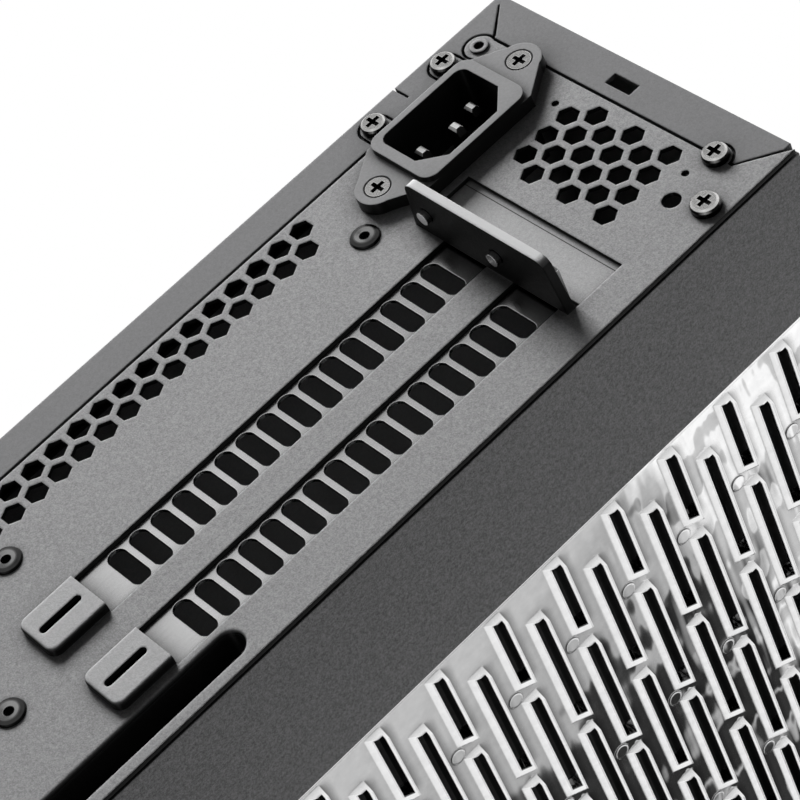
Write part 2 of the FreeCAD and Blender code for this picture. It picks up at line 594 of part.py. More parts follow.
def make_rear_panel():
    """Chassis back plate: vents, slots with bridges and screw ledge, and the connector opening."""
    body = new_body("rear_panel")
    plate = rear_sketch(body, REAR)
    right = f"{HALF} - side_band - seam"
    tip = f"{LEFT_EDGE} + mitre_run"
    high = below("top_band + seam")
    low = f"{BASE} + top_band + seam"
    polygon(plate, [
        (right, low), (right, high), (tip, high), (PANEL_LEFT, below("seam")),
        (PANEL_LEFT, f"{BASE} + seam"), (tip, low)])
    pad(body, plate, "skin")
    ears = rear_sketch(body, REAR)
    for x, z in RIGHT_SCREWS:
        obround(ears, f"{x} - side_band / 2", z, "ear_radius * 2 + side_band", "ear_radius * 2")
    for x, z in (TOP_SCREW, SPARE_BOSS):
        circle(ears, x, z, "ear_radius")
    pad(body, ears, "skin")

    ledge = flat_sketch(body, LEDGE)
    crest = f"{REAR} + ledge_height"
    polygon(ledge, [
        ("ledge_left", INNER), ("ledge_right", INNER), ("ledge_right", REAR),
        ("ledge_right - ledge_lean", crest), ("ledge_left + ledge_lean", crest), ("ledge_left", REAR)])
    pad(body, ledge, "ledge_thick")
    round_edges(body, lambda p: near(p.y, crest), "ledge_corner", "z")
    bridges = rear_sketch(body, REAR)
    middle = f"{SLOT_END} - bridge_length / 2"
    for x in SLOTS:
        centred(bridges, x, middle, "bridge_width", "bridge_length")
    pad(body, bridges, "bridge_rise", back=True)
    foot = f"{SLOT_END} - bridge_length"
    round_edges(body, lambda p: near(p.z, foot) and p.y > number(REAR) - 1e-4, "bridge_corner", "y")
    ridge = f"{REAR} + bridge_rise"
    round_edges(body, lambda p: near(p.y, ridge) and p.z < number(SLOT_END) - 1e-4, "bridge_edge")
    collar = rear_sketch(body, REAR)
    circle(collar, *SPARE_BOSS, "spare_collar")
    pad(body, collar, "spare_rise", back=True)
    hollows = rear_sketch(body, INNER)
    for x in SLOTS:
        centred(hollows, x, f"{middle} + skin", "bridge_width - skin * 2", "bridge_length")
    cut(body, hollows, "bridge_rise", back=True)

    openings = rear_sketch(body, REAR)
    for x in SLOTS:
        rectangle(openings, f"{x} - slot_width / 2", f"{x} + slot_width / 2", SLOT_END, LEDGE_BACK)
    cut(body, openings, "skin")
    window = rear_sketch(body, REAR)
    rectangle(window, "ledge_left", "ledge_right", LEDGE_BACK, f"{LEDGE_BACK} + window_length")
    cut(body, window, "skin")
    main = rear_sketch(body, REAR)
    centred(main, "inlet_x", below("inlet_drop"), "inlet_wide + inlet_fit", "inlet_long + inlet_fit")
    rectangle(main, "io_x - io_wide / 2", "io_x + io_wide / 2", below("io_drop + io_long"), below("io_drop"))
    obround(main, "recess_x", below("recess_drop + recess_length / 2"), "recess_width", "recess_length")
    cut(body, main, "skin")
    reach = number("recess_width / 2") + 0.01
    spot = number("recess_x")
    ends = [number(below("recess_drop + recess_length")) - 0.01, number(below("recess_drop")) + 0.01]
    round_edges(body, lambda p: near(p.y, REAR) and abs(p.x - spot) < reach and ends[0] < p.z < ends[1],
                "recess_lip")
    holes = rear_sketch(body, REAR)
    for x, z in RIGHT_SCREWS + [TOP_SCREW, CATCH_SCREW]:
        circle(holes, x, z, SCREW_HOLE)
    for sign in ("+", "-"):
        circle(holes, "inlet_x", f"{below('inlet_drop')} {sign} inlet_screws_apart / 2", SCREW_HOLE)
    for x, z in STIFFENER_RIVETS + [SHELF_RIVET]:
        circle(holes, x, z, "rivet_body + pin_fit")
    circle(holes, "round_hole_x", below("round_hole_drop"), "round_hole / 2")
    for x in ("pip_x_1", "pip_x_2"):
        circle(holes, x, below("pip_drop"), "pip / 2")
    cut(body, holes, "skin")
    bore = rear_sketch(body, f"{REAR} + spare_rise")
    circle(bore, *SPARE_BOSS, "spare_bore")
    cut(body, bore, "skin + spare_rise")
    slits = rear_sketch(body, f"{REAR} + bridge_rise")
    for x in SLOTS:
        obround(slits, x, middle, "bridge_slit_width", "bridge_slit")
    cut(body, slits, "skin")
    taps = flat_sketch(body, LEDGE)
    for x in SLOTS:
        circle(taps, f"{x} + cover_screw_shift", f"{REAR} + cover_screw_rise", SCREW_HOLE)
    cut(body, taps, "ledge_thick")

    strip = rear_sketch(body, REAR)
    hexagon(strip, "strip_x", below("strip_drop"), "vent_flats")
    hexagon(strip, "strip_x - vent_pitch * sqrt(3) / 2", below("strip_drop + vent_pitch / 2"), "vent_flats")
    first = cut(body, strip, "skin")
    repeat(body, [first], [("Z_Axis", "vent_pitch", "strip_count", True)])
    columns = [(0, 0, 3), (1, 0, 4), (2, 1, 3), (3, 1, 4), (4, 2, 3), (5, 2, 4)]
    for step, row, count in columns:
        patch = rear_sketch(body, REAR)
        hexagon(patch, f"patch_x - vent_pitch * sqrt(3) / 2 * {step}",
                below(f"patch_drop + vent_pitch * {row - step / 2}"), "vent_flats")
        first = cut(body, patch, "skin")
        repeat(body, [first], [("Z_Axis", "vent_pitch", count, True)])
    return body


def make_finger_cup():
    """Drawn pocket behind the long opening beside the side panel, for a finger to pull the panel off."""
    body = new_body("finger_cup")
    middle = below("recess_drop + recess_length / 2")
    outside = rear_sketch(body, INNER)
    obround(outside, "recess_x", middle, "recess_width + recess_wall * 2", "recess_length + recess_wall * 2")
    pad(body, outside, "recess_depth - skin + recess_wall")
    inside = rear_sketch(body, INNER)
    obround(inside, "recess_x", middle, "recess_width", "recess_length")
    cut(body, inside, "recess_depth - skin")
    return body


def make_side_panel():
    """Left cover sheet with a window for the grille and folded top and bottom edges."""
    body = new_body("side_panel")
    face = side_sketch(body, f"-{HALF}")
    rectangle(face, f"{FRONT} + seam", f"{INNER} - seam", BASE, TOP)
    pad(body, face, "skin")
    folds = side_sketch(body, f"-{WALL}")
    ends = (f"{FRONT} + panel_flange_inset", f"{REAR} - panel_flange_inset")
    rectangle(folds, *ends, below("skin * 2 + seam"), below("skin + seam"))
    rectangle(folds, *ends, f"{BASE} + skin + seam", f"{BASE} + skin * 2 + seam")
    pad(body, folds, "panel_flange")
    window = side_sketch(body, f"-{HALF}")
    rectangle(window, f"{REAR} - grille_rear - grille_long", f"{REAR} - grille_rear",
              below("grille_drop + grille_high"), below("grille_drop"))
    cut(body, window, "skin")
    return body


def make_louvre_grille():
    """Plated moulded grille: staggered columns of small tilted louvres, each with a slot."""
    body = new_body("louvre_grille")
    flat = f"(-{HALF} + louvre_rise)"
    rear = f"({REAR} - grille_rear)"
    high = below("grille_drop")
    rim = side_sketch(body, f"-{WALL}")
    rectangle(rim, f"{rear} - grille_long - grille_lip", f"{rear} + grille_lip",
              f"{high} - grille_high - grille_lip", f"{high} + grille_lip")
    pad(body, rim, "louvre_rise + grille_wall - skin")
    well = side_sketch(body, f"-{WALL}")
    rectangle(well, f"{rear} - grille_long", rear, f"{high} - grille_high", high)
    cut(body, well, "louvre_rise - skin")

    top_even = f"({high} - louvre_top)"
    top_odd = f"({top_even} - louvre_pitch / 2)"
    full_odd = f"({rear} - louvre_web * 2 - louvre_short)"
    full_even = f"({rear} - louvre_stagger)"
    kinds = [
        (top_odd, f"({rear} - louvre_web)", "louvre_short", "1"),
        (top_odd, full_odd, "louvre_length", "louvre_rows"),
        (top_even, full_even, "louvre_length", "louvre_rows"),
        (top_even, f"({full_even} - louvre_step * louvre_rows)", "louvre_short", "1")]
    crest = f"({flat} - louvre_rise)"
    root = f"({flat} + grille_wall / 2)"
    bead = side_sketch(body, crest)
    for inset in ("grille_fit", "(grille_fit + grille_bead)"):
        rectangle(bead, f"{rear} - grille_long + {inset}", f"{rear} - {inset}",
                  f"{high} - grille_high + {inset}", f"{high} - {inset}")
    pad(body, bead, "louvre_rise + grille_wall / 2")
    ejector = side_sketch(body, f"{flat} - ejector_rise")
    circle(ejector, f"{rear} - louvre_web * 1.5 - louvre_short", f"{top_odd} - ejector_shift",
           "ejector_radius")
    repeat(body, [pad(body, ejector, "ejector_rise + grille_wall / 2")], louvre_rows("louvre_rows"))
    masters = []
    for low_edge, start, length, rows in kinds:
        block = flat_sketch(body, low_edge)
        polygon(block, [
            (root, start), (flat, start), (crest, f"{start} - louvre_lean"),
            (crest, f"{start} - {length}"), (root, f"{start} - {length}")])
        louvre = pad(body, block, "louvre_width")
        slope = rear_sketch(body, start)
        polygon(slope, [
            (flat, low_edge), (f"{crest} - louvre_rise", f"{low_edge} + louvre_width * 2"),
            (f"{crest} - louvre_rise", f"{low_edge} - skin")])
        shaved = cut(body, slope, length)
        mouth = side_sketch(body, crest)
        rectangle(mouth, f"{start} - {length} + mouth_front", f"{start} - mouth_rear",
                  f"{low_edge} + mouth_inset", f"{low_edge} + mouth_inset + mouth_width")
        opened = cut(body, mouth, "louvre_rise + grille_wall")
        masters.append(([louvre, shaved, opened], rows))
    for features, rows in masters:
        repeat(body, features, louvre_rows(rows))
    return body


def louvre_rows(rows):
    """Pattern of one louvre: down the columns, and towards the front where a column has more."""
    down = ("Z_Axis", "louvre_pitch", "louvre_columns", True)
    along = ("Y_Axis", "louvre_step", "louvre_rows", True)
    return [down] if rows == "1" else [down, along]


def make_slot_cover(index, x):
    """Vented blank: plate, tongue at the lower end and a tab folded out behind the ledge."""
    body = new_body(f"slot_cover_{index}")
    front = f"({INNER} - cover_thick)"
    wide = "(slot_width + cover_lap * 2)"
    tab = f"({LEDGE_BACK} + cover_thick)"
    section = side_sketch(body, f"{x} - {wide} / 2")
    polygon(section, [
        (front, f"{SLOT_END} - cover_lap"), (front, tab), (f"{REAR} + cover_tab", tab),
        (f"{REAR} + cover_tab", LEDGE_BACK), (INNER, LEDGE_BACK), (INNER, f"{SLOT_END} - cover_lap")])
    pad(body, section, wide)
    ear = flat_sketch(body, LEDGE_BACK)
    rectangle(ear, f"{x}", f"{x} + {wide} / 2 + cover_ear", REAR, f"{REAR} + cover_tab")
    pad(body, ear, "cover_thick")
    tongue = rear_sketch(body, INNER)
    rectangle(tongue, f"{x} - tongue_width / 2", f"{x} + tongue_width / 2",
              f"{SLOT_END} - tongue_length", SLOT_END)
    pad(body, tongue, "cover_thick")
    hole = flat_sketch(body, LEDGE_BACK)
    circle(hole, f"{x} + cover_screw_shift", f"{REAR} + cover_screw_rise", SCREW_HOLE)
    cut(body, hole, "cover_thick")
    slot = rear_sketch(body, INNER)
    obround(slot, x, below("cell_drop"), "cell_length", "cell_width")
    first = cut(body, slot, "cover_thick")
    repeat(body, [first], [("Z_Axis", "cell_pitch", "cell_count", True)])
    return body


def make_window_plate():
    """Plate behind the window that the folded ledge leaves open."""
    body = new_body("slot_window_plate")
    plate = rear_sketch(body, INNER)
    rectangle(plate, "ledge_left - window_lap", "ledge_right + window_lap_inlet",
              f"{LEDGE_BACK} + cover_thick + seam", f"{LEDGE_BACK} + window_length + window_lap")
    pad(body, plate, "skin")
    return body


def make_stiffener():
    """Angle riveted behind the vented part of the rear panel."""
    body = new_body("rear_stiffener")
    section = flat_sketch(body, f"{below('rivet_drop_2')} - stiffener_over")
    left = "rivet_x - stiffener_leg / 2"
    right = "rivet_x + stiffener_leg / 2"
    polygon(section, [
        (left, INNER), (right, INNER), (right, f"{INNER} - skin"), (f"{left} + skin", f"{INNER} - skin"),
        (f"{left} + skin", f"{INNER} - stiffener_leg"), (left, f"{INNER} - stiffener_leg")])
    pad(body, section, "rivet_drop_2 - rivet_drop_1 + stiffener_over * 2")
    holes = rear_sketch(body, INNER)
    for x, z in STIFFENER_RIVETS:
        circle(holes, x, z, "rivet_body + pin_fit")
    cut(body, holes, "skin")
    return body


def make_panel_catch():
    """Small plate behind the rear panel that keeps the side panel's rear edge."""
    body = new_body("panel_catch")
    plate = rear_sketch(body, INNER)
    centred(plate, *CATCH_SCREW, "catch_width", "catch_height")
    pad(body, plate, "skin * 2")
    hole = rear_sketch(body, INNER)
    circle(hole, *CATCH_SCREW, SCREW_HOLE)
    cut(body, hole, "skin * 2")
    return body


def make_mains_inlet():
    """Moulded inlet: eared flange, raised block and a cavity with two cut corners."""
    body = new_body("mains_inlet")
    z = below("inlet_drop")
    half_wide = "inlet_wide / 2"
    shoulder = "inlet_long / 2"
    ear_z = "(inlet_screws_apart / 2 + inlet_ear / 3)"
    flange = rear_sketch(body, REAR)
    polygon(flange, [(f"inlet_x {a} {wide}", f"{z} {b} {high}") for a, wide, b, high in (
        ("+", half_wide, "-", shoulder), ("+", half_wide, "+", shoulder),
        ("+", "inlet_ear * 0.94", "+", ear_z), ("-", "inlet_ear * 0.94", "+", ear_z),
        ("-", half_wide, "+", shoulder), ("-", half_wide, "-", shoulder),
        ("-", "inlet_ear * 0.94", "-", ear_z), ("+", "inlet_ear * 0.94", "-", ear_z))])
    pad(body, flange, "inlet_plate", back=True)
    ears = rear_sketch(body, REAR)
    for sign in ("+", "-"):
        circle(ears, "inlet_x", f"{z} {sign} inlet_screws_apart / 2", "inlet_ear")
    pad(body, ears, "inlet_plate", back=True)
    block = rear_sketch(body, f"{REAR} + inlet_plate / 2")
    centred(block, "inlet_x", z, "inlet_wide", "inlet_long")
    pad(body, block, "inlet_face - inlet_plate / 2", back=True)
    crest = number(f"{REAR} + inlet_face")
    floor = number(f"{REAR} + inlet_plate")
    limits = [number(f"inlet_x {a} {half_wide}") for a in "+-"]
    round_edges(body, lambda p: floor - 1e-4 < p.y < crest + 1e-4
                and min(abs(p.x - x) for x in limits) < 1e-4
                and abs(abs(p.z - number(z)) - number(shoulder)) < 1e-4, "inlet_corner", "y")
    rear_box = rear_sketch(body, REAR)
    centred(rear_box, "inlet_x", z, "socket_wide + inlet_wall * 2", "socket_long + inlet_wall * 2")
    pad(body, rear_box, "socket_depth - inlet_face + inlet_floor")
    socket = rear_sketch(body, f"{REAR} + inlet_face")
    right = "inlet_x + socket_wide / 2"
    left = "inlet_x - socket_wide / 2"
    polygon(socket, [
        (right, f"{z} - socket_long / 2"), (right, f"{z} + socket_long / 2"),
        (f"{left} + socket_chamfer", f"{z} + socket_long / 2"),
        (left, f"{z} + socket_long / 2 - socket_chamfer"),
        (left, f"{z} - socket_long / 2 + socket_chamfer"),
        (f"{left} + socket_chamfer", f"{z} - socket_long / 2")])
    cut(body, socket, "socket_depth")
    deep = number(f"{REAR} + inlet_face - socket_depth")
    round_edges(body, lambda p: near(p.x, right) and deep - 1e-4 < p.y < crest + 1e-4
                and abs(abs(p.z - number(z)) - number("socket_long / 2")) < 1e-4, "socket_round", "y")
    seats = rear_sketch(body, f"{REAR} + inlet_face - socket_depth")
    for x, pin_z in pin_places():
        centred(seats, x, pin_z, "pin_wide + pin_fit * 2", "pin_thick + pin_fit * 2")
    cut(body, seats, "inlet_floor")
    holes = rear_sketch(body, f"{REAR} + inlet_plate")
    for sign in ("+", "-"):
        circle(holes, "inlet_x", f"{z} {sign} inlet_screws_apart / 2", SCREW_HOLE)
    cut(body, holes, "inlet_plate")
    reach = number(SCREW_HOLE) + 1e-3
    spots = [number(f"{z} {sign} inlet_screws_apart / 2") for sign in "+-"]
    middle = number("inlet_x")
    round_edges(body, lambda p: abs(p.y - floor) < 1e-4
                and min(abs(p.z - spot) for spot in spots) < reach and abs(p.x - middle) < reach,
                "cone_radius - thread / 2", "", "Chamfer", "Size")
    return body


def pin_places():
    """Middle of each blade pin: two outer ones to the right, the earth pin to the left."""
    z = below("inlet_drop")
    return [("inlet_x + pin_shift", f"{z} + pin_pitch"), ("inlet_x + pin_shift", f"{z} - pin_pitch"),
            ("inlet_x - pin_shift", z)]


def make_blade_pin(label, inset):
    """Blade pin along Z from its tail to a tapered tip."""
    body = new_body(label)
    length = f"(socket_depth - {inset} + inlet_floor + pin_tail)"
    section = rear_sketch(body, "pin_thick / 2")
    polygon(section, [
        ("-pin_wide / 2", "0"), ("pin_wide / 2", "0"), ("pin_wide / 2", f"{length} - pin_taper"),
        ("pin_tip / 2", length), ("-pin_tip / 2", length), ("-pin_wide / 2", f"{length} - pin_taper")])
    pad(body, section, "pin_thick")
    round_edges(body, lambda p: near(p.z, length), "pin_thick / 4", "x", "Chamfer", "Size")
    return body


def make_inlet_pins():
    """Three blade pins, each with its tip inside the cavity and a tail behind."""
    outer = make_blade_pin("outer_pin", "pin_inset")
    earth = make_blade_pin("earth_pin", "earth_inset")
    tail = f"{REAR} + inlet_face - socket_depth - inlet_floor - pin_tail"
    spots = [(x, tail, z) for x, z in pin_places()]
    return copies("inlet_pins", [(outer, spots[0]), (outer, spots[1]), (earth, spots[2])], TO_REAR)


def cross_recess(body, crest, long="cross_long", wide="cross_wide"):
    """Cross-shaped driver recess sunk from a screw's crest."""
    for x_size, y_size in ((long, wide), (wide, long)):
        bar = flat_sketch(body, crest)
        centred(bar, "0", "0", x_size, y_size)
        cut(body, bar, "cross_deep", back=True)


def make_pan_screw(label, head):
    """Pan-head screw along Z, its head seated at height zero."""
    body = turned(label, [
        ("0", "-screw_length"), ("thread / 2", "-screw_length"), ("thread / 2", "0"), (head, "0"),
        (head, "head_height * 0.6"), (f"{head} * 0.92", "head_height * 0.86"),
        (f"{head} * 0.78", "head_height"), ("0", "head_height")])
    cross_recess(body, "head_height")
    return body


def make_cone_screw():
    """Countersunk screw along Z, its face at height zero."""
    body = turned("cone_screw", [
        ("0", "-screw_length - cone_height"), ("thread / 2", "-screw_length - cone_height"),
        ("thread / 2", "-cone_height"), ("cone_radius - thread_gap", "-thread_gap"),
        ("cone_radius - thread_gap", "0"), ("0", "0")])
    cross_recess(body, "0")
    return body


def make_slot_screw():
    """Low-headed screw along Z that clamps a slot cover's tab to the ledge."""
    return turned("slot_screw", [
        ("0", "-cover_thick - ledge_thick - cover_thick * 1.5"),
        ("thread / 2", "-cover_thick - ledge_thick - cover_thick * 1.5"), ("thread / 2", "0"),
        ("head_radius * 0.9", "0"), ("head_radius * 0.9", "cover_thick"),
        ("head_radius * 0.6", "cover_thick * 1.5"), ("0", "cover_thick * 1.5")])


def make_rivet():
    """Blind rivet along Z with a rounded ring flange and an open bore."""
    return turned("blind_rivet", [
        ("rivet_bore", "-rivet_grip"), ("rivet_body", "-rivet_grip"), ("rivet_body", "0"),
        ("rivet_radius", "0"), ("rivet_radius * 0.92", "rivet_rise * 0.6"),
        ("rivet_radius * 0.66", "rivet_rise"), ("rivet_bore", "rivet_rise * 0.7")])


def make_fasteners():
    """Every screw and rivet, one node for each kind."""
    pan = make_pan_screw("pan_screw", "head_radius")
    wide = make_pan_screw("catch_screw", "catch_head")
    items = [(pan, (x, REAR, z)) for x, z in RIGHT_SCREWS + [TOP_SCREW]]
    x, z = CATCH_SCREW
    groups = [copies("panel_screws", items + [(wide, (x, REAR, z))], TO_REAR)]
    cone = make_cone_screw()
    z = below("inlet_drop")
    spots = [("inlet_x", f"{REAR} + inlet_plate", f"{z} {sign} inlet_screws_apart / 2") for sign in "+-"]
    groups.append(copies("inlet_screws", [(cone, spot) for spot in spots], TO_REAR))
    low = make_slot_screw()
    spots = [(f"{x} + cover_screw_shift", f"{REAR} + cover_screw_rise", f"{LEDGE_BACK} + cover_thick")
             for x in SLOTS]
    groups.append(copies("slot_cover_screws", [(low, spot) for spot in spots], UPRIGHT))
    rivet = make_rivet()
    items = [(rivet, (x, REAR, z)) for x, z in STIFFENER_RIVETS + [SHELF_RIVET]]
    groups.append(copies("rivets", items, TO_REAR))
    return groups


def make_board_tray():
    """Hat-shaped tray that stands the board off the right wall."""
    body = new_body("board_tray")
    low = f"{BASE} + tray_low"
    high = below("tray_trim")
    section = rear_sketch(body, f"{INNER} - tray_rear")
    polygon(section, [
        (WALL, high), (WALL, f"{high} - skin"), (f"{TRAY} + skin", f"{high} - skin"),
        (f"{TRAY} + skin", f"{low} + skin"), (WALL, f"{low} + skin"), (WALL, low),
        (TRAY, low), (TRAY, high)])
    pad(body, section, "case_depth - skin - tray_rear - tray_front")
    openings = side_sketch(body, TRAY)
    spot_y = f"{REAR} - board_rear - board_run / 2"
    spot_z = below("board_drop + board_rows / 2")
    centred(openings, spot_y, spot_z, "cooler_hole", "cooler_hole")
    cut(body, openings, "skin")
    return body


def board_holes():
    """Board screw places on the tray, as (y, z)."""
    rear = f"({REAR} - board_rear)"
    front = f"({rear} - board_run)"
    high = below("board_drop")
    low = below("board_drop + board_rows")
    return [(rear, low), (f"({rear} - board_jog)", high), (front, low), (front, high)]


def make_standoffs():
    """Four hexagon standoffs with a tapped bore."""
    master = new_body("standoff")
    section = flat_sketch(master, "0")
    hexagon(section, "0", "0", "standoff_flats")
    pad(master, section, "standoff_height")
    bore = flat_sketch(master, "0")
    circle(bore, "0", "0", "standoff_bore")
    cut(master, bore, "standoff_height")
    return copies("standoffs", [(master, (TRAY, y, z)) for y, z in board_holes()], TO_LEFT)


def make_card_shelf():
    """Level plate between card and board, folded down at the rear and at the tray."""
    body = new_body("card_shelf")
    high = below("shelf_drop")
    front = f"{INNER} - shelf_run"
    plate = flat_sketch(body, f"{high} - skin")
    rectangle(plate, "shelf_left", TRAY, front, INNER)
    pad(body, plate, "skin")
    rear = rear_sketch(body, INNER)
    rectangle(rear, "shelf_left", TRAY, f"{high} - shelf_flange", high)
    pad(body, rear, "skin")
    side = side_sketch(body, f"{TRAY} - skin")
    rectangle(side, front, f"{INNER} - tray_rear", f"{high} - shelf_flange", high)
    pad(body, side, "skin")
    holes = rear_sketch(body, INNER)
    circle(holes, *SHELF_RIVET, "rivet_body + pin_fit")
    cut(body, holes, "skin")
    return body


def make_riser():
    """Riser board on two spacers, with the socket that takes a card's edge."""
    high = below("shelf_drop")
    rear = f"({REAR} - riser_rear)"
    board_low = f"({high} + spacer_height)"
    board_high = f"({board_low} + board_thick)"
    spacer = new_body("riser_spacer")
    post = flat_sketch(spacer, "0")
    circle(post, "0", "0", "spacer_radius")
    pad(spacer, post, "spacer_height")
    ends = (f"{rear} - spacer_inset", f"{rear} - riser_run + spacer_inset")
    spacers = copies("riser_spacers", [(spacer, ("riser_x", y, high)) for y in ends], UPRIGHT)
    board = new_body("riser_board")
    outline = flat_sketch(board, board_low)
    rectangle(outline, "riser_x - riser_wide / 2", "riser_x + riser_wide / 2", f"{rear} - riser_run", rear)
    pad(board, outline, "board_thick")
    socket = new_body("riser_socket")
    outline = flat_sketch(socket, board_high)
    middle = f"({rear} - riser_run / 2)"
    centred(outline, "riser_x", middle, "socket_body", "socket_run")
    pad(socket, outline, "socket_high")
    slit = flat_sketch(socket, f"{board_high} + socket_high")
    centred(slit, "riser_x", middle, "card_slit", "socket_run - card_slit * 2")
    cut(socket, slit, "card_slit_deep", back=True)
    return [spacers, board, socket]


def make_supply_bracket():
    """Frame that the power supply's end face screws to, fixed to the tray by a folded flange."""
    body = new_body("supply_bracket")
    rear = f"({REAR} - supply_rear)"
    left = f"({TRAY} - supply_wide)"
    high = below("supply_drop")
    low = f"({high} - supply_long)"
    plate = rear_sketch(body, rear)
    rectangle(plate, left, TRAY, low, high)
    pad(body, plate, "skin")
    flange = side_sketch(body, f"{TRAY} - skin")
    rectangle(flange, f"{rear} - skin", f"{rear} + supply_flange", low, high)
    pad(body, flange, "skin")
    opening = rear_sketch(body, rear)
    rectangle(opening, f"{left} + supply_rim * 2", f"{TRAY} - supply_rim * 2",
              f"{low} + supply_rim", f"{high} - supply_rim")
    for x in (f"{left} + supply_hole_inset", f"{TRAY} - supply_hole_inset"):
        for z in (f"{low} + supply_hole_inset", f"{high} - supply_hole_inset"):
            circle(opening, x, z, SCREW_HOLE)
    cut(body, opening, "skin")
    return body


BUTTON = below("button_drop")
FRONT_WALL = f"({NOSE} + bezel_wall)"
FRONT_BOARD = f"({FRONT_WALL} + front_board_gap)"
FRONT_BOARD_HIGH = below("button_drop - post_inset * 4")
FRONT_BOARD_LOW = f"({FRONT_BOARD_HIGH} - front_board_high)"
USB_PLACES = [below("usb_drop"), below("usb_drop + usb_pitch")]
FRONT_POSTS = [f"({FRONT_BOARD_HIGH} - post_inset)", f"({FRONT_BOARD_LOW} + post_inset)"]


def make_front_panel():
    """Moulded front: a shallow tray with holes for button, lens and sockets, and two posts."""
    body = new_body("front_panel")
    outline = rear_sketch(body, FRONT)
    rectangle(outline, f"-{HALF}", HALF, BASE, TOP)
    pad(body, outline, "bezel_depth")
    front = number(NOSE)
    round_edges(body, lambda p: abs(p.y - front) < 1e-4, "bezel_wall / 2")
    hollow = rear_sketch(body, FRONT)
    rectangle(hollow, f"-{HALF} + bezel_wall", f"{HALF} - bezel_wall",
              f"{BASE} + bezel_wall", f"{TOP} - bezel_wall")
    cut(body, hollow, "bezel_depth - bezel_wall")
    posts = rear_sketch(body, FRONT_WALL)
    for z in FRONT_POSTS:
        circle(posts, "0", z, "post_radius")
    pad(body, posts, "front_board_gap", back=True)
    holes = rear_sketch(body, FRONT_WALL)
    circle(holes, "0", BUTTON, "button_radius + button_fit")
    circle(holes, "0", below("lens_drop"), "lens_radius + pin_fit")
    circle(holes, "0", below("jack_drop"), "jack_radius + port_fit")
    for z in USB_PLACES:
        centred(holes, "0", z, "usb_wide + port_fit * 2", "usb_long + port_fit * 2")
    cut(body, holes, "bezel_wall")
    return body


def make_power_button():
    """Cap with a collar behind the front wall and a stem that meets the switch."""
    tail = "(front_board_gap - switch_depth - button_play - button_travel)"
    body = turned("button_shape", [
        ("0", f"-{tail}"), ("button_stem", f"-{tail}"),
        ("button_stem", "-button_play - button_collar_thick"),
        ("button_collar", "-button_play - button_collar_thick"), ("button_collar", "-button_play"),
        ("button_radius", "-button_play"), ("button_radius", "bezel_wall + button_proud * 0.6"),
        ("button_radius * 0.9", "bezel_wall + button_proud"), ("0", "bezel_wall + button_proud * 0.8")])
    return copies("power_button", [(body, ("0", FRONT_WALL, BUTTON))], TO_FRONT)


def make_front_parts():
    """Front board with push switch, sockets, headset jack and indicator lens."""
    board = new_body("front_board")
    outline = rear_sketch(board, FRONT_BOARD)
    rectangle(outline, "-front_board_wide / 2", "front_board_wide / 2", FRONT_BOARD_LOW, FRONT_BOARD_HIGH)
    pad(board, outline, "board_thick", back=True)
    switch = new_body("push_switch")
    outline = rear_sketch(switch, FRONT_BOARD)
    centred(outline, "0", BUTTON, "switch_side", "switch_side")
    pad(switch, outline, "switch_depth")
    master = new_body("usb_socket")
    outline = flat_sketch(master, "0")
    centred(outline, "0", "0", "usb_wide", "usb_long")
    pad(master, outline, "front_board_gap + bezel_wall")
    mouth = flat_sketch(master, "front_board_gap + bezel_wall")
    centred(mouth, "0", "0", "usb_wide - usb_wall * 2", "usb_long - usb_wall * 2")
    cut(master, mouth, "bezel_wall * 3", back=True)
    tongue = flat_sketch(master, "front_board_gap - bezel_wall * 2.5")
    centred(tongue, "usb_wide / 8", "0", "usb_tongue", "usb_long - usb_wall * 6")
    pad(master, tongue, "bezel_wall * 3")
    sockets = copies("usb_sockets", [(master, ("0", FRONT_BOARD, z)) for z in USB_PLACES], TO_FRONT)
    jack_shape = new_body("jack_shape")
    ring = flat_sketch(jack_shape, "0")
    circle(ring, "0", "0", "jack_radius")
    pad(jack_shape, ring, "front_board_gap + bezel_wall")
    bore = flat_sketch(jack_shape, "front_board_gap + bezel_wall")
    circle(bore, "0", "0", "jack_bore")
    cut(jack_shape, bore, "front_board_gap", back=True)
    jack = copies("headset_jack", [(jack_shape, ("0", FRONT_BOARD, below("jack_drop")))], TO_FRONT)
    lens_shape = turned("lens_shape", [
        ("0", "0"), ("lens_radius", "0"), ("lens_radius", "front_board_gap + bezel_wall"),
        ("lens_radius * 0.6", "front_board_gap + bezel_wall + lens_radius / 4"),
        ("0", "front_board_gap + bezel_wall + lens_radius / 3")])
    lens = copies("indicator_lens", [(lens_shape, ("0", FRONT_BOARD, below("lens_drop")))], TO_FRONT)
    return [board, switch, sockets, jack, lens]


def make_feet():
    """Four rubber feet plugged into the shell's floor."""
    master = turned("foot_shape", [
        ("0", "-foot_height"), ("foot_radius - foot_taper", "-foot_height"), ("foot_radius", "0"),
        ("foot_plug", "0"), ("foot_plug", "foot_plug_length"), ("0", "foot_plug_length")])
    spots = [(x, y, BASE) for x in ("foot_x", "-foot_x") for y in ("foot_y", "-foot_y")]
    return copies("feet", [(master, spot) for spot in spots], UPRIGHT)


sub_parts = [
    make_outer_shell(), make_rear_panel(), make_finger_cup(), make_side_panel(), make_louvre_grille(),
    make_slot_cover(1, SLOTS[0]), make_slot_cover(2, SLOTS[1]), make_window_plate(), make_stiffener(),
    make_panel_catch(), make_mains_inlet(), make_inlet_pins(), make_board_tray(), make_standoffs(),
    make_card_shelf(), make_supply_bracket(), make_front_panel(), make_power_button(), make_feet()]
sub_parts += make_riser() + make_front_parts() + make_fasteners()
doc.recompute()

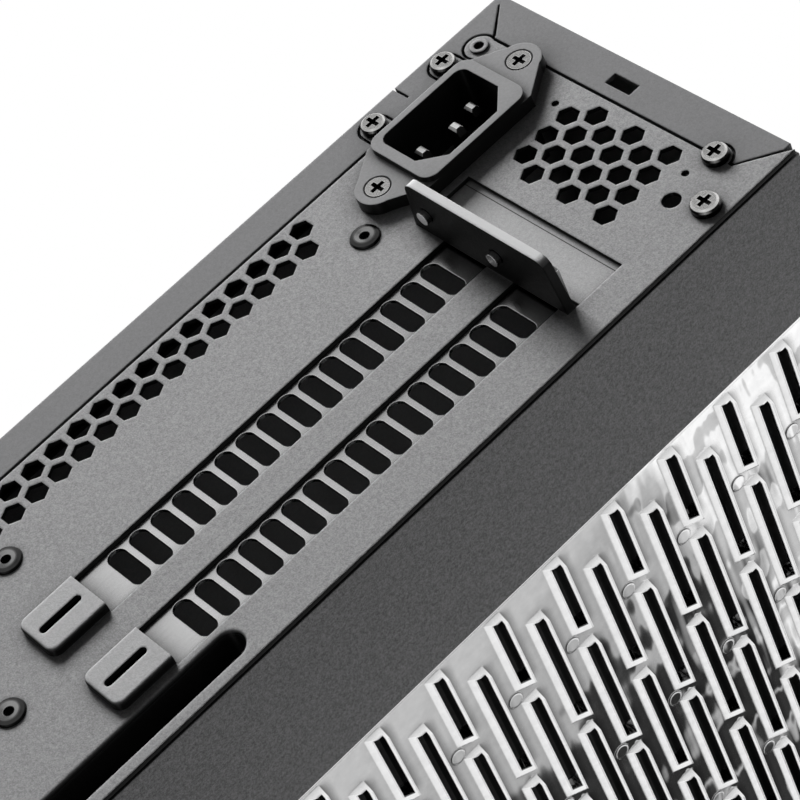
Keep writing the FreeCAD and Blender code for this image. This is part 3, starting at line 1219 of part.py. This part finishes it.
for item in doc.Objects:
    if {"Invalid", "Error"} & set(item.State):
        raise RuntimeError(f"{item.Label} did not build: {item.State}")
for item in sub_parts:
    shape = Part.getShape(item)
    if shape.isNull() or not shape.isValid():
        raise RuntimeError(f"{item.Label} has no valid shape")

os.makedirs("parts", exist_ok=True)
for item in sub_parts:
    Part.getShape(item).exportStep(f"parts/{item.Label}.step")
print(len(sub_parts), "sub-parts written")
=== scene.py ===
import bpy
import numpy as np
from mathutils import Matrix, Vector

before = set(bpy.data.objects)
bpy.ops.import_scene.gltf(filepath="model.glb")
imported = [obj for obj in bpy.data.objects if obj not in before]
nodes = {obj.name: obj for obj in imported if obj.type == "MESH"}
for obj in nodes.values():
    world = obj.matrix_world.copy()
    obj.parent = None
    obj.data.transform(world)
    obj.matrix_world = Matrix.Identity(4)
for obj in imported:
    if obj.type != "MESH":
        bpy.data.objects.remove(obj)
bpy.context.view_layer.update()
print("frame loaded:", len(nodes), "nodes")


# A shader socket that can be added, subtracted and scaled: every operator lays one Math node.
class Wire:
    def __init__(self, tree, socket=None):
        self.tree = tree
        self.socket = socket

    # One node of any kind: settings are put on it first, then its sockets are filled or linked.
    def lay(self, kind, settings=(), sockets=(), out=0):
        node = self.tree.nodes.new("ShaderNode" + kind)
        for name, value in dict(settings).items():
            if name == "stops":
                ramp = node.color_ramp.elements
                for i, (place, tone) in enumerate(value):
                    stop = ramp[i] if i < len(ramp) else ramp.new(place)
                    stop.position = place
                    stop.color = (tone, tone, tone, 1)
            else:
                setattr(node, name, value)
        for key, value in dict(sockets).items():
            if isinstance(value, Wire):
                self.tree.links.new(value.socket, node.inputs[key])
            else:
                node.inputs[key].default_value = value
        return Wire(self.tree, node.outputs[out])

    def maths(self, operation, a, b):
        return self.lay("Math", {"operation": operation}, {0: a, 1: b})

    def __add__(self, other):
        return self.maths("ADD", self, other)

    def __radd__(self, other):
        return self.maths("ADD", other, self)

    def __sub__(self, other):
        return self.maths("SUBTRACT", self, other)

    def __rsub__(self, other):
        return self.maths("SUBTRACT", other, self)

    def __mul__(self, other):
        return self.maths("MULTIPLY", self, other)

    def __rmul__(self, other):
        return self.maths("MULTIPLY", other, self)


# A new material with its shader: returns the material, a wire to build on and the shader's node.
def newFinish(name, **fixed):
    material = bpy.data.materials.new(name)
    material.use_nodes = True
    tree = material.node_tree
    shader = tree.nodes["Principled BSDF"]
    for socket, value in fixed.items():
        shader.inputs[socket.replace("_", " ")].default_value = value
    return material, Wire(tree), shader


def plug(wire, shader, socket):
    wire.tree.links.new(wire.socket, shader.inputs[socket])


def objectPlace(wire):
    return wire.lay("TexCoord", out="Object")


def axisOf(wire, vector, axis):
    return wire.lay("SeparateXYZ", {}, {0: vector}, out=axis)


def noise(wire, place, scale, detail=2.0, rough=0.5):
    return wire.lay("TexNoise", {}, {"Vector": place, "Scale": scale, "Detail": detail, "Roughness": rough})


# A value carried from low..high to least..most and held at both ends.
def eased(wire, value, low, high, least=0.0, most=1.0):
    return wire.lay("MapRange", {}, {0: value, 1: low, 2: high, 3: least, 4: most})


# A colour between two ends, each of them a colour or a wire. A Mix node's colours are sockets 6, 7 and, out, 2.
def blend(wire, factor, low, high):
    low, high = (end if isinstance(end, Wire) else (*end, 1) for end in (low, high))
    return wire.lay("Mix", {"data_type": "RGBA"}, {0: factor, 6: low, 7: high}, out=2)


middle = 0.5  # the mean of a noise
probes = {"edge": 6, "crevice": 8}  # rays for each look at the neighbouring surface
# The tone of painted shade, and the facings (the least of normal X and Z) over which painted shade on lee faces
# fades out.
unlit = {"tone": (0.004, 0.004, 0.004), "fullShade": -0.85, "noShade": -0.35}


# Rounded-over edges with a grain on top, for the Normal socket.
def grainNormal(wire, height, look):
    soft = wire.lay("Bevel", {"samples": probes["edge"]}, {"Radius": look["edge"]})
    grain = {"Height": height, "Strength": look["bump"], "Distance": look["depth"], "Normal": soft}
    return wire.lay("Bump", {}, grain)


# Painted shade: a colour that falls to black in crevices narrower than a reach, where shade falls.
def shaded(wire, colour, reach, fall):
    clear = wire.lay("AmbientOcclusion", {"samples": probes["crevice"]}, {"Distance": reach}, out="AO")
    return blend(wire, wire.maths("POWER", clear, fall), unlit["tone"], colour)


# Painted shade on lee faces: a colour that stays on most faces and falls to black on those turned towards -X or
# -Z, away from the key lamp.
def leeShaded(wire, colour):
    facing = wire.lay("TexCoord", out="Normal")
    turned = wire.maths("MINIMUM", axisOf(wire, facing, "X"), axisOf(wire, facing, "Z"))
    return blend(wire, eased(wire, turned, unlit["fullShade"], unlit["noShade"]), unlit["tone"], colour)


# What every finish ends with: a colour with painted shade in its crevices, rougher patches and a grain.
def dress(wire, shader, look, fall, colour, patch, height):
    plug(shaded(wire, colour, look["crevice"], fall), shader, "Base Color")
    plug(look["rough"] + patch * look["roughSpread"], shader, "Roughness")
    plug(grainNormal(wire, height, look), shader, "Normal")


coatGrain = {"fine": 0.65, "coarse": 0.35, "coarser": 0.42, "speck": 0.8, "drift": 0.2, "fall": 1.6}
coatBase = {"grain": 2900.0, "drift": 9.0, "rough": 0.52, "roughSpread": 0.10, "bump": 0.13, "depth": 0.0001,
            "edge": 0.0006, "specular": 0.12, "crevice": 0.008}
# Shell and rear are one paint: the shell's tone is set darker than the rear's, as painted shade for the shell's
# band round the rear panel, which is lit less than the panel.
coatLook = {
    "shell": {**coatBase, "dark": (0.178, 0.178, 0.181), "light": (0.266, 0.266, 0.270), "contrast": 2.2},
    "side": {**coatBase, "dark": (0.106, 0.106, 0.108), "light": (0.305, 0.305, 0.309), "contrast": 4.2},
    "rear": {**coatBase, "dark": (0.215, 0.215, 0.218), "light": (0.430, 0.430, 0.434), "contrast": 3.0,
             "drift": 11.0, "bump": 0.40, "edge": 0.0007, "specular": 0.10, "crevice": 0.007},
    "plate": {**coatBase, "dark": (0.30, 0.30, 0.303), "light": (0.50, 0.50, 0.504), "contrast": 2.4,
              "drift": 14.0, "rough": 0.46, "bump": 0.35, "edge": 0.0004, "specular": 0.2, "crevice": 0.004},
}
# Painted shade: a long reach darkens the tray's inner sheets as in the shade of the closed case.
coatLook["tray"] = {**coatLook["shell"], "crevice": 0.05}  # inner sheets are dark in the closed case
# Painted highlight on the rear panel's raised forms: a paler tone between two Y; this setting also brings
# painted shade on faces turned towards -X or -Z.
rearHighlightAndShade = {"low": 0.1652, "high": 0.1684, "highlightTone": (0.66, 0.66, 0.665)}
# A thin dark line across the window plate at one Z.
plateDarkLine = {"at": 0.3348, "core": 0.000084, "half": 0.00014, "tone": (0.06, 0.06, 0.06)}


# Powder coat: two noises make the fine orange-peel grain, a broad one drifts the tone. A coat with a
# raised-highlight setting gets a painted highlight on raised forms (by Y) and painted shade on faces turned
# towards -X or -Z. A thin dark line can be drawn at one Z.
def powderCoat(name, look, highlightAndShade=None, darkLine=None):
    material, wire, shader = newFinish(name, Specular_IOR_Level=look["specular"])
    place = objectPlace(wire)
    fine = noise(wire, place, look["grain"], detail=3.0, rough=0.6)
    coarse = noise(wire, place, look["grain"] * coatGrain["coarser"])
    drift = noise(wire, place, look["drift"])
    peel = fine * coatGrain["fine"] + coarse * coatGrain["coarse"]
    speck = (peel - middle) * look["contrast"] + middle
    tone = speck * coatGrain["speck"] + drift * coatGrain["drift"]
    paint = blend(wire, tone, look["dark"], look["light"])
    if highlightAndShade:
        raised = eased(wire, axisOf(wire, place, "Y"), highlightAndShade["low"], highlightAndShade["high"])
        paint = leeShaded(wire, blend(wire, raised, paint, highlightAndShade["highlightTone"]))
    if darkLine:
        off = wire.maths("ABSOLUTE", axisOf(wire, place, "Z") - darkLine["at"], 0.0)
        clear = eased(wire, off, darkLine["core"], darkLine["half"])
        paint = blend(wire, clear, darkLine["tone"], paint)
    dress(wire, shader, look, coatGrain["fall"], paint, speck - middle, speck)
    return material


sheetGrain = {"streak": 0.6, "cloud": 0.4, "fall": 2.5}
sheetLook = {
    "cover": {"dark": (0.60, 0.60, 0.605), "light": (0.88, 0.88, 0.88), "streak": (6.0, 6.0, 0.35),
              "scale": 320.0, "cloud": 60.0, "rough": 0.20, "roughSpread": 0.08, "bump": 0.12,
              "depth": 0.00005, "edge": 0.00022, "crevice": 0.009, "leeShade": False},
    "nickel": {"dark": (0.42, 0.417, 0.41), "light": (0.92, 0.915, 0.905), "streak": (1.0, 1.0, 1.0),
               "scale": 900.0, "cloud": 220.0, "rough": 0.27, "roughSpread": 0.12, "bump": 0.08,
               "depth": 0.00004, "edge": 0.00025, "crevice": 0.003, "leeShade": True},
    "pin": {"dark": (0.90, 0.90, 0.895), "light": (1.0, 1.0, 0.995), "streak": (1.0, 1.0, 1.0),
            "scale": 900.0, "cloud": 220.0, "rough": 0.46, "roughSpread": 0.10, "bump": 0.05,
            "depth": 0.00004, "edge": 0.00025, "crevice": 0.002, "leeShade": True},
    "rivet": {"dark": (0.024, 0.024, 0.024), "light": (0.055, 0.055, 0.055), "streak": (1.0, 1.0, 1.0),
              "scale": 900.0, "cloud": 200.0, "rough": 0.24, "roughSpread": 0.10, "bump": 0.10,
              "depth": 0.00005, "edge": 0.0003, "crevice": 0.001, "leeShade": True},
    "brass": {"dark": (0.56, 0.40, 0.15), "light": (0.76, 0.60, 0.30), "streak": (4.0, 4.0, 1.0),
              "scale": 700.0, "cloud": 150.0, "rough": 0.28, "roughSpread": 0.12, "bump": 0.1,
              "depth": 0.00005, "edge": 0.0002, "crevice": 0.001, "leeShade": False},
}
# Painted highlight on the rivets: a paler tone within a radius of each rivet's axis, for the lit inner rims of
# their domes.
rivetHighlight = {"axes": ((0.0165, 0.3135), (0.0165, 0.2187), (-0.0125, 0.1974)), "pale": 0.0019, "clear": 0.0024,
             "tone": (0.26, 0.26, 0.26)}


# Painted highlight: a colour that gives way to a paler tone close to any of several axes along Y, for the lit
# inner rims of domed rivets.
def highlightRing(wire, place, colour, litRing):
    flat = wire.lay("VectorMath", {"operation": "MULTIPLY"}, {0: place, 1: (1.0, 0.0, 1.0)})
    spans = [wire.lay("VectorMath", {"operation": "DISTANCE"}, {0: flat, 1: (x, 0.0, z)}, out="Value")
             for x, z in litRing["axes"]]
    nearest = spans[0]
    for span in spans[1:]:
        nearest = wire.maths("MINIMUM", nearest, span)
    return blend(wire, eased(wire, nearest, litRing["pale"], litRing["clear"]), litRing["tone"], colour)


# Plated metal: streaks drawn along one axis by squeezing the noise. One with lee shade set gets painted shade
# on its lee faces, and one with rivet axes gets a painted highlight, a paler inside round each of its axes.
def platedSheet(name, look, litRing=None):
    material, wire, shader = newFinish(name, Metallic=1.0)
    place = objectPlace(wire)
    drawn = wire.lay("Mapping", {}, {"Vector": place, "Scale": look["streak"]})
    streak = noise(wire, drawn, look["scale"], detail=4.0, rough=0.6)
    cloud = noise(wire, place, look["cloud"], detail=3.0)
    tone = streak * sheetGrain["streak"] + cloud * sheetGrain["cloud"]
    metal = blend(wire, tone, look["dark"], look["light"])
    if look["leeShade"]:
        metal = leeShaded(wire, metal)
    if litRing:
        metal = highlightRing(wire, place, metal, litRing)
    dress(wire, shader, look, sheetGrain["fall"], metal, streak - middle, streak)
    return material


plasticGrain = {"grain": 0.5, "flow": 0.5, "fall": 2.4}
plasticLook = {
    "inlet": {"dark": (0.18, 0.18, 0.182), "light": (0.38, 0.38, 0.384), "grain": 1500.0, "flow": 60.0,
              "rough": 0.44, "roughSpread": 0.12, "bump": 0.25, "depth": 0.00008, "edge": 0.0004,
              "specular": 0.18, "crevice": 0.012, "leeShade": True},
    "front": {"dark": (0.030, 0.030, 0.031), "light": (0.060, 0.060, 0.062), "grain": 1500.0, "flow": 18.0,
              "rough": 0.46, "roughSpread": 0.10, "bump": 0.35, "depth": 0.00012, "edge": 0.0008,
              "specular": 0.5, "crevice": 0.003, "leeShade": False},
    "foot": {"dark": (0.014, 0.014, 0.014), "light": (0.034, 0.034, 0.034), "grain": 1100.0, "flow": 50.0,
             "rough": 0.72, "roughSpread": 0.12, "bump": 0.4, "depth": 0.00015, "edge": 0.0006,
             "specular": 0.35, "crevice": 0.003, "leeShade": False},
    "board": {"dark": (0.010, 0.045, 0.022), "light": (0.030, 0.095, 0.050), "grain": 1200.0, "flow": 240.0,
              "rough": 0.34, "roughSpread": 0.14, "bump": 0.2, "depth": 0.00006, "edge": 0.0002,
              "specular": 0.5, "crevice": 0.002, "leeShade": False},
    "lens": {"dark": (0.62, 0.65, 0.68), "light": (0.78, 0.80, 0.82), "grain": 900.0, "flow": 200.0,
             "rough": 0.18, "roughSpread": 0.06, "bump": 0.05, "depth": 0.00004, "edge": 0.0002,
             "specular": 0.5, "crevice": 0.001, "leeShade": False},
}


# Moulded plastic: fine spark-eroded grain with a faint flow pattern.
def mouldedPlastic(name, look):
    material, wire, shader = newFinish(name, Specular_IOR_Level=look["specular"])
    place = objectPlace(wire)
    grain = noise(wire, place, look["grain"], detail=3.0, rough=0.65)
    flow = noise(wire, place, look["flow"])
    tone = grain * plasticGrain["grain"] + flow * plasticGrain["flow"]
    plastic = blend(wire, tone, look["dark"], look["light"])
    # Painted shade on lee faces, for plastics that have it set.
    if look["leeShade"]:
        plastic = leeShaded(wire, plastic)
    dress(wire, shader, look, plasticGrain["fall"], plastic, flow - middle, grain)
    return material


platingLook = {"dark": (0.74, 0.74, 0.745), "light": (0.95, 0.95, 0.95), "wave": 46.0, "haze": 420.0,
               "rough": 0.012, "roughSpread": 0.025, "bump": 0.8, "depth": 0.0008, "edge": 0.0005,
               "ripple": 230.0, "rippleShare": 0.22, "streak": (1.0, 0.14, 1.0), "crevice": 0.0028,
               "fall": 2.6, "calm": 0.275, "restless": 0.345, "calmShare": 0.18}


# Bright plating on a moulding: mirror metal over the waviness of the plastic, which grows with Z and has
# ripples drawn along Y.
def brightPlating(name, look):
    material, wire, shader = newFinish(name, Metallic=1.0)
    place = objectPlace(wire)
    restless = eased(wire, axisOf(wire, place, "Z"), look["calm"], look["restless"], look["calmShare"])
    drawn = wire.lay("Mapping", {}, {"Vector": place, "Scale": look["streak"]})
    ripple = noise(wire, drawn, look["ripple"], detail=1.0) * look["rippleShare"]
    wave = (noise(wire, place, look["wave"], detail=1.2) + ripple - middle) * restless
    haze = noise(wire, place, look["haze"], detail=3.0)
    bright = blend(wire, haze, look["dark"], look["light"])
    dress(wire, shader, look, look["fall"], bright, haze, wave)
    return material


finishes = {material.name: material for material in (
    powderCoat("coatedSteel", coatLook["shell"]),
    powderCoat("traySteel", coatLook["tray"]),
    powderCoat("sideSteel", coatLook["side"]),
    powderCoat("rearSteel", coatLook["rear"], highlightAndShade=rearHighlightAndShade),
    powderCoat("plateSteel", coatLook["plate"], darkLine=plateDarkLine),
    platedSheet("coverSteel", sheetLook["cover"]),
    platedSheet("nickelPlate", sheetLook["nickel"]),
    platedSheet("pinPlate", sheetLook["pin"]),
    platedSheet("blackRivet", sheetLook["rivet"], litRing=rivetHighlight),
    platedSheet("turnedBrass", sheetLook["brass"]),
    mouldedPlastic("inletPlastic", plasticLook["inlet"]),
    mouldedPlastic("frontPlastic", plasticLook["front"]),
    mouldedPlastic("footRubber", plasticLook["foot"]),
    mouldedPlastic("circuitBoard", plasticLook["board"]),
    mouldedPlastic("lensPlastic", plasticLook["lens"]),
    brightPlating("grillePlating", platingLook),
)}
finishOf = {
    "outer_shell": "coatedSteel", "rear_panel": "rearSteel", "finger_cup": "rearSteel",
    "side_panel": "sideSteel", "louvre_grille": "grillePlating", "slot_cover_1": "coverSteel",
    "slot_cover_2": "coverSteel", "slot_window_plate": "plateSteel", "rear_stiffener": "coverSteel",
    "panel_catch": "coverSteel", "mains_inlet": "inletPlastic", "inlet_pins": "pinPlate",
    "board_tray": "traySteel", "standoffs": "turnedBrass", "card_shelf": "traySteel",
    "supply_bracket": "traySteel", "front_panel": "frontPlastic", "power_button": "frontPlastic",
    "feet": "footRubber", "riser_spacers": "nickelPlate", "riser_board": "circuitBoard",
    "riser_socket": "frontPlastic", "front_board": "circuitBoard", "push_switch": "frontPlastic",
    "usb_sockets": "nickelPlate", "headset_jack": "frontPlastic", "indicator_lens": "lensPlastic",
    "panel_screws": "nickelPlate", "inlet_screws": "nickelPlate", "slot_cover_screws": "coverSteel",
    "rivets": "blackRivet",
}
for nodeName, finishName in finishOf.items():
    slots = nodes[nodeName].data.materials
    slots.clear()
    slots.append(finishes[finishName])
print("finishes laid on", len(finishOf), "nodes")

# Studio: a pale floor, a soft key from the rear right, a weak fill from the front left, a white surround
# and two grey cards for the metal.
studio = {"floorSize": 8.0, "floorTone": 0.78, "floorLift": 0.42, "floorBounce": 0.04, "floorRough": 0.9,
          "ambient": 0.035, "aim": (0.0, 0.12, 0.28)}


def rayIs(wire, kind):
    return wire.lay("LightPath", out="Is " + kind + " Ray")


def grey(tone):
    return (tone, tone, tone)


# One four-cornered sheet of the studio.
def makeSheet(name, corners, material):
    mesh = bpy.data.meshes.new(name)
    mesh.from_pydata(corners, [], [(0, 1, 2, 3)])
    mesh.materials.append(material)
    sheet = bpy.data.objects.new(name, mesh)
    bpy.context.collection.objects.link(sheet)
    return sheet


# The floor keeps its shadow for the camera, throws little light back and is white in mirrors.
def makeFloor():
    material, wire, shader = newFinish("floorPaper", Roughness=studio["floorRough"], Emission_Strength=1.0)
    direct = rayIs(wire, "Camera")
    paint = blend(wire, direct, grey(studio["floorBounce"]), grey(studio["floorTone"]))
    plug(paint, shader, "Base Color")
    plug(blend(wire, direct, grey(0.0), grey(studio["floorLift"])), shader, "Emission Color")
    mirrored = rayIs(wire, "Glossy") + rayIs(wire, "Transmission")
    white = wire.lay("Emission", {}, {"Strength": 1.0})
    paper = Wire(wire.tree, shader.outputs[0])
    both = wire.lay("MixShader", {}, {0: mirrored, 1: paper, 2: white})
    plug(both, wire.tree.nodes["Material Output"], "Surface")
    half = studio["floorSize"] / 2
    corners = [(-half, -half, 0), (half, -half, 0), (half, half, 0), (-half, half, 0)]
    floor = makeSheet("studioFloor", corners, material)


# A surround that is white to the camera and in mirrors and lights the case only a little.
def makeWorld():
    world = bpy.data.worlds.new("studioWorld")
    bpy.context.scene.world = world
    world.use_nodes = True
    wire = Wire(world.node_tree)
    seen = rayIs(wire, "Camera") + rayIs(wire, "Glossy") + rayIs(wire, "Transmission")
    background = world.node_tree.nodes["Background"]
    background.inputs["Color"].default_value = (1, 1, 1, 1)
    plug(studio["ambient"] + (1.0 - studio["ambient"]) * seen, background, "Strength")


cards = {
    "frontCard": {"toward": (-0.67, -0.74), "away": 3.0, "wide": 5.0, "high": 2.0,
                  "run": (0.741, -0.671, 0.175), "flare": (1.27, 1.40, 0.62),
                  "stops": ((0.30, 0.60), (0.36, 0.50), (0.445, 0.48), (0.458, 0.10), (0.475, 0.04),
                            (0.60, 0.03), (0.63, 0.55), (0.66, 0.04))},
    "rearCard": {"toward": (0.67, 0.74), "away": 3.0, "wide": 5.0, "high": 2.0,
                 "run": (0.0, 0.0, 0.5), "flare": (1.0, 2.0, 0.0),
                 "stops": ((0.36, 0.82), (0.46, 0.66), (0.60, 0.42), (1.0, 0.30))},
}


# A standing card that only mirrors see: its tone follows place . run, plus a flare that grows with height.
def makeCard(name, look):
    material, wire, shader = newFinish(name)
    place = objectPlace(wire)
    along = wire.lay("VectorMath", {"operation": "DOT_PRODUCT"}, {0: place, 1: look["run"]}, out="Value")
    tone = wire.lay("ValToRGB", {"stops": look["stops"]}, {0: along})
    low, high, most = look["flare"]
    flare = eased(wire, axisOf(wire, place, "Z"), low, high, 0.0, most)
    flared = wire.lay("VectorMath", {"operation": "ADD"}, {0: tone, 1: flare})
    glow = wire.lay("Emission", {}, {"Color": flared, "Strength": 1.0})
    plug(glow, wire.tree.nodes["Material Output"], "Surface")
    toward = np.array(look["toward"]) / np.hypot(*look["toward"])
    across = np.array((-toward[1], toward[0])) * look["wide"] / 2
    foot = toward * look["away"]
    ends = ((-1, 0), (1, 0), (1, look["high"]), (-1, look["high"]))
    card = makeSheet(name, [(*(foot + side * across), z) for side, z in ends], material)
    card.visible_camera = False
    card.visible_diffuse = False
    card.visible_shadow = False


lamps = {
    "keySoftbox": {"from": (0.79, 0.50, 0.28), "away": 1.3, "size": 0.55, "power": 29.0},
    "fillSoftbox": {"from": (-0.75, -0.60, 0.28), "away": 1.3, "size": 0.8, "power": 7.0},
}


# A square lamp aimed at the case's upper rear, kept out of mirrors so that bright metal doesn't clip.
def makeLamp(name, look):
    lamp = bpy.data.lights.new(name, "AREA")
    lamp.shape = "SQUARE"
    lamp.size = look["size"]
    lamp.energy = look["power"]
    softbox = bpy.data.objects.new(name, lamp)
    bpy.context.collection.objects.link(softbox)
    away = Vector(look["from"]).normalized()
    softbox.location = Vector(studio["aim"]) + away * look["away"]
    softbox.rotation_euler = away.to_track_quat("Z", "Y").to_euler()
    softbox.visible_glossy = False


makeFloor()
makeWorld()
for cardName, cardLook in cards.items():
    makeCard(cardName, cardLook)
for lampName, lampLook in lamps.items():
    makeLamp(lampName, lampLook)
print("studio lit")

# Camera: a long lens below the slots, rolled so that the case runs across the frame.
cameraPose = {"place": (-0.40664, 0.59172, 0.12423), "lens": 144.97, "sensor": 36.0, "near": 0.01,
              "right": (-0.63978, -0.30527, 0.70533), "up": (0.41945, 0.63032, 0.65327),
              "ahead": (0.64400, -0.71380, 0.27522)}
lens = bpy.data.cameras.new("photoCamera")
lens.lens = cameraPose["lens"]
lens.sensor_width = cameraPose["sensor"]
lens.clip_start = cameraPose["near"]
camera = bpy.data.objects.new("photoCamera", lens)
bpy.context.collection.objects.link(camera)
back = -Vector(cameraPose["ahead"])
turn = Matrix((cameraPose["right"], cameraPose["up"], back)).transposed()
camera.matrix_world = Matrix.Translation(cameraPose["place"]) @ turn.to_4x4()
bpy.context.scene.camera = camera
bpy.context.scene.view_settings.view_transform = "Standard"
print("camera set")
